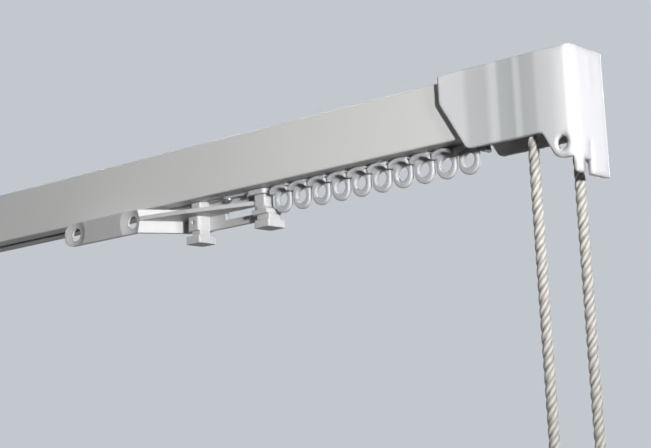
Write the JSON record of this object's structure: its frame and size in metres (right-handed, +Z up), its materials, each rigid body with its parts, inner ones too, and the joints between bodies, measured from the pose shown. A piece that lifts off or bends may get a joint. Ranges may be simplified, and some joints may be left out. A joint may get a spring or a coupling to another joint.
{
  "type": "curtain track",
  "caption": "Corded curtain track: white box rail, hollow pulley housing with lugs, ring gliders, a master carrier with a cranked overlap arm, and a cord loop held by a hanging weight.",
  "frame": {"origin": "middle of the two fixing holes, on the rail's top face", "axes": "+X along the rail towards the pulley housing, -Y towards the room, +Z up through the fixing holes"},
  "size_m": [0.7748, 0.034, 0.215],
  "materials": {
    "rail_paint": "satin white powder coat on aluminium",
    "housing_plastic": "moulded white nylon, slightly translucent",
    "glider_plastic": "moulded white acetal",
    "carrier_plastic": "moulded white nylon",
    "sheave_plastic": "moulded pale grey acetal",
    "weight_plastic": "moulded white plastic",
    "cord": "twisted white polyester",
    "steel": "zinc-plated steel"
  },
  "bodies": {
    "track": {"rail": "rail_paint", "pulley_housing": "housing_plastic", "return_housing": "housing_plastic", "front_axle": "steel", "rear_axle": "steel", "return_axle": "steel", "housing_screws": "steel", "end_stop": "glider_plastic", "cord_run": "cord", "cord_falls": "cord", "weight_front": "weight_plastic", "weight_back": "weight_plastic", "weight_axle": "steel", "weight_slug": "steel", "weight_screws": "steel"},
    "master": {"carrier_runner": "carrier_plastic", "cord_clamp": "sheave_plastic", "clamp_screws": "steel", "overlap_arm": "carrier_plastic"},
    "front_sheave": {"front_sheave": "sheave_plastic"},
    "rear_sheave": {"rear_sheave": "sheave_plastic"},
    "return_sheave": {"return_sheave": "sheave_plastic"},
    "weight_sheave": {"weight_sheave": "sheave_plastic"},
    "glider_01": {"glider_01": "glider_plastic"},
    "glider_02": {"glider_02": "glider_plastic"},
    "glider_03": {"glider_03": "glider_plastic"},
    "glider_04": {"glider_04": "glider_plastic"},
    "glider_05": {"glider_05": "glider_plastic"},
    "glider_06": {"glider_06": "glider_plastic"},
    "glider_07": {"glider_07": "glider_plastic"},
    "glider_08": {"glider_08": "glider_plastic"},
    "glider_09": {"glider_09": "glider_plastic"}
  },
  "joints": [
    {"name": "master_slide", "type": "slide", "parent": "track", "child": "master", "axis": [-1, 0, 0], "range_m": [0, 0.48]},
    {"name": "glider_01_slide", "type": "slide", "parent": "track", "child": "glider_01", "axis": [-1, 0, 0], "range_m": [0, 0.432]},
    {"name": "glider_02_slide", "type": "slide", "parent": "track", "child": "glider_02", "axis": [-1, 0, 0], "range_m": [0, 0.384]},
    {"name": "glider_03_slide", "type": "slide", "parent": "track", "child": "glider_03", "axis": [-1, 0, 0], "range_m": [0, 0.336]},
    {"name": "glider_04_slide", "type": "slide", "parent": "track", "child": "glider_04", "axis": [-1, 0, 0], "range_m": [0, 0.288]},
    {"name": "glider_05_slide", "type": "slide", "parent": "track", "child": "glider_05", "axis": [-1, 0, 0], "range_m": [0, 0.24]},
    {"name": "glider_06_slide", "type": "slide", "parent": "track", "child": "glider_06", "axis": [-1, 0, 0], "range_m": [0, 0.192]},
    {"name": "glider_07_slide", "type": "slide", "parent": "track", "child": "glider_07", "axis": [-1, 0, 0], "range_m": [0, 0.144]},
    {"name": "glider_08_slide", "type": "slide", "parent": "track", "child": "glider_08", "axis": [-1, 0, 0], "range_m": [0, 0.096]},
    {"name": "glider_09_slide", "type": "slide", "parent": "track", "child": "glider_09", "axis": [-1, 0, 0], "range_m": [0, 0.048]},
    {"name": "front_sheave_spin", "type": "hinge", "parent": "track", "child": "front_sheave", "pos_m": [0.3637, -0.0067, -0.0165], "axis": [0, 1, 0], "continuous": true},
    {"name": "rear_sheave_spin", "type": "hinge", "parent": "track", "child": "rear_sheave", "pos_m": [0.3751, 0.0067, -0.0165], "axis": [0, 1, 0], "continuous": true},
    {"name": "return_sheave_spin", "type": "hinge", "parent": "track", "child": "return_sheave", "pos_m": [-0.363, 0, -0.0075], "axis": [0, 0, 1], "continuous": true},
    {"name": "weight_sheave_spin", "type": "hinge", "parent": "track", "child": "weight_sheave", "pos_m": [0.3784, 0, -0.175], "axis": [-0.7617, 0.648, 0], "continuous": true}
  ],
  "couplings": [
    {"joint": "glider_01_slide", "follows": "master_slide", "ratio": 0.9},
    {"joint": "glider_02_slide", "follows": "master_slide", "ratio": 0.8},
    {"joint": "glider_03_slide", "follows": "master_slide", "ratio": 0.7},
    {"joint": "glider_04_slide", "follows": "master_slide", "ratio": 0.6},
    {"joint": "glider_05_slide", "follows": "master_slide", "ratio": 0.5},
    {"joint": "glider_06_slide", "follows": "master_slide", "ratio": 0.4},
    {"joint": "glider_07_slide", "follows": "master_slide", "ratio": 0.3},
    {"joint": "glider_08_slide", "follows": "master_slide", "ratio": 0.2},
    {"joint": "glider_09_slide", "follows": "master_slide", "ratio": 0.1},
    {"joint": "front_sheave_spin", "follows": "master_slide", "rad_per_m": -111.11},
    {"joint": "rear_sheave_spin", "follows": "master_slide", "rad_per_m": 111.11},
    {"joint": "return_sheave_spin", "follows": "master_slide", "rad_per_m": -149.25},
    {"joint": "weight_sheave_spin", "follows": "master_slide", "rad_per_m": 113.64}
  ]
}
